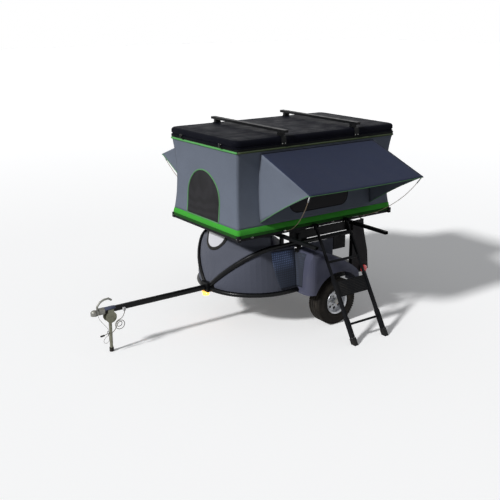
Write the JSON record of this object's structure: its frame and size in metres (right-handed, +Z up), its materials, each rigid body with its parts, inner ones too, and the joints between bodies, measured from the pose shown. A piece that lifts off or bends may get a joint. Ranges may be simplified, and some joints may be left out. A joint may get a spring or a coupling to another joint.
{
  "type": "camper trailer",
  "caption": "Small two-wheel camper trailer with an open pop-up roof tent, side awnings, ladder and jack leg.",
  "frame": {"origin": "on the ground under the middle of the whole trailer, without its cords", "axes": "+X forward to the coupler, +Y to the trailer's left side, +Z up"},
  "size_m": [3.415, 2.688, 2.1373],
  "materials": {
    "black_tube": "gloss",
    "jack_steel": "galvanised",
    "coupler_steel": "satin",
    "deck": "matt",
    "body_panel": "satin",
    "nose_panel": "satin",
    "nose_window": "gloss",
    "fender": "satin",
    "box_black": "matt",
    "column": "satin",
    "tyre": "matt",
    "rim": "satin",
    "tray": "satin",
    "skirt_green": "woven",
    "tent_cloth": "woven",
    "mesh": "mesh",
    "awning_cloth": "woven",
    "rod": "satin",
    "lid": "satin",
    "ladder": "satin",
    "rubber": "matt",
    "lamp_amber": "gloss",
    "lamp_red": "gloss",
    "clip": "satin",
    "cable_grey": "matt",
    "cable_steel": "satin"
  },
  "bodies": {
    "root": {"tongue_tube": "black_tube", "coupler_head": "coupler_steel", "coupler_lever": "coupler_steel", "nose_bracket": "black_tube", "lower_rail": "black_tube", "upper_rails": "black_tube", "chassis_members": "black_tube", "floor_deck": "deck", "side_panels": "body_panel", "nose_panel": "nose_panel", "nose_window": "nose_window", "quarter_panels": "body_panel", "fenders": "fender", "side_boxes": "box_black", "rear_columns": "column", "axle": "black_tube", "jack_bracket": "jack_steel", "rack_posts": "black_tube", "crossbars": "black_tube", "tent_rails": "black_tube", "tent_tray": "tray", "tent_skirt": "skirt_green", "tent_walls": "tent_cloth", "tent_band": "skirt_green", "tent_windows": "mesh", "awning_left": "awning_cloth", "awning_right": "awning_cloth", "awning_rods": "rod", "ladder_hinge": "ladder", "marker_lamp": "lamp_amber", "tail_lamps": "lamp_red", "cable_clip": "clip", "light_cable": "cable_grey", "light_plug": "rubber", "breakaway_cable": "cable_steel", "breakaway_hook": "rubber"},
    "wheel_left": {"tyre_left": "tyre", "rim_left": "rim"},
    "wheel_right": {"tyre_right": "tyre", "rim_right": "rim"},
    "jack": {"jack_leg": "jack_steel", "jack_foot": "rubber"},
    "lid": {"lid_shell": "lid", "roof_bars": "black_tube"},
    "ladder": {"ladder_rails": "ladder", "ladder_rungs": "ladder", "ladder_feet": "rubber"}
  },
  "joints": [
    {"name": "wheel_left_spin", "type": "hinge", "parent": "root", "child": "wheel_left", "pos_m": [-0.7835, 0.699, 0.259], "axis": [0, 1, 0], "continuous": true},
    {"name": "wheel_right_spin", "type": "hinge", "parent": "root", "child": "wheel_right", "pos_m": [-0.7835, -0.699, 0.259], "axis": [0, 1, 0], "continuous": true},
    {"name": "jack_swing", "type": "hinge", "parent": "root", "child": "jack", "pos_m": [1.5075, 0, 0.372], "axis": [0, 1, 0], "range_deg": [0, 90]},
    {"name": "lid_lift", "type": "slide", "parent": "root", "child": "lid", "axis": [0, 0, 1], "range_m": [-0.8505, 0], "deforming": ["tent_skirt", "tent_walls", "tent_band", "tent_windows", "awning_left", "awning_right", "awning_rods"]},
    {"name": "ladder_swing", "type": "hinge", "parent": "root", "child": "ladder", "pos_m": [-0.7775, 0.668, 1.086], "axis": [1, 0, 0], "range_deg": [0, 58]}
  ]
}
